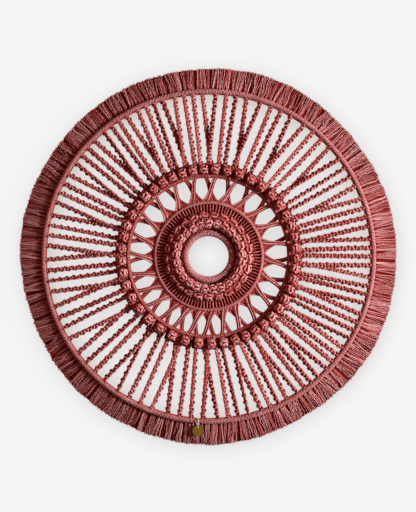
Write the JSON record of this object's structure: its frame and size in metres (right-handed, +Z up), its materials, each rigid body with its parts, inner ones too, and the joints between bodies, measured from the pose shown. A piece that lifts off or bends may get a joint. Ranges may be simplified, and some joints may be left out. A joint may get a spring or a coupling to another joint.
{
  "type": "macrame mandala wall hanging",
  "caption": "Round knotted cotton wall hanging on concentric metal hoops, with berry knots, crossing square-knot spokes, a cut fringe and a small brass tag that swings on a ring.",
  "frame": {"origin": "underside of the wrapped outer hoop at the top, where it hangs on a nail or hook", "axes": "+Z up the wall, +Y into the wall, -Y out of the front, +X to the right as the front is seen"},
  "size_m": [0.5705, 0.0243, 0.5708],
  "materials": {
    "cotton_cord": "matt twisted cotton cord, dusty rose",
    "hoop_wire": "plain drawn wire, covered by cord",
    "brass": "satin, slightly dulled"
  },
  "bodies": {
    "hanging": {"centre_ring": "hoop_wire", "inner_hoop": "hoop_wire", "middle_hoop": "hoop_wire", "outer_hoop": "hoop_wire", "centre_wrap": "cotton_cord", "hub_knotwork": "cotton_cord", "inner_hitches": "cotton_cord", "middle_hitches": "cotton_cord", "lattice_01": "cotton_cord", "lattice_02": "cotton_cord", "lattice_03": "cotton_cord", "lattice_04": "cotton_cord", "lattice_05": "cotton_cord", "lattice_06": "cotton_cord", "lattice_07": "cotton_cord", "lattice_08": "cotton_cord", "lattice_09": "cotton_cord", "lattice_10": "cotton_cord", "lattice_11": "cotton_cord", "lattice_12": "cotton_cord", "lattice_13": "cotton_cord", "lattice_14": "cotton_cord", "lattice_15": "cotton_cord", "lattice_16": "cotton_cord", "lattice_17": "cotton_cord", "lattice_18": "cotton_cord", "lattice_19": "cotton_cord", "lattice_20": "cotton_cord", "lattice_21": "cotton_cord", "lattice_22": "cotton_cord", "lattice_23": "cotton_cord", "lattice_24": "cotton_cord", "lattice_25": "cotton_cord", "spoke_01": "cotton_cord", "spoke_02": "cotton_cord", "spoke_03": "cotton_cord", "spoke_04": "cotton_cord", "spoke_05": "cotton_cord", "spoke_06": "cotton_cord", "spoke_07": "cotton_cord", "spoke_08": "cotton_cord", "spoke_09": "cotton_cord", "spoke_10": "cotton_cord", "spoke_11": "cotton_cord", "spoke_12": "cotton_cord", "spoke_13": "cotton_cord", "spoke_14": "cotton_cord", "spoke_15": "cotton_cord", "spoke_16": "cotton_cord", "spoke_17": "cotton_cord", "spoke_18": "cotton_cord", "spoke_19": "cotton_cord", "spoke_20": "cotton_cord", "spoke_21": "cotton_cord", "spoke_22": "cotton_cord", "spoke_23": "cotton_cord", "fringe_upper": "cotton_cord", "fringe_lower": "cotton_cord"},
    "tag_ring": {"tag_ring": "brass"},
    "tag_disc": {"tag_disc": "brass"}
  },
  "joints": [
    {"name": "tag_ring_swing", "type": "hinge", "parent": "hanging", "child": "tag_ring", "pos_m": [-0.0152, 0, -0.4953], "axis": [-0.9981, 0, 0.061], "range_deg": [0, 75]},
    {"name": "tag_disc_swing", "type": "hinge", "parent": "tag_ring", "child": "tag_disc", "pos_m": [-0.01577, -0.0022, -0.50462], "axis": [0, 1, 0], "range_deg": [-35, 35]}
  ]
}
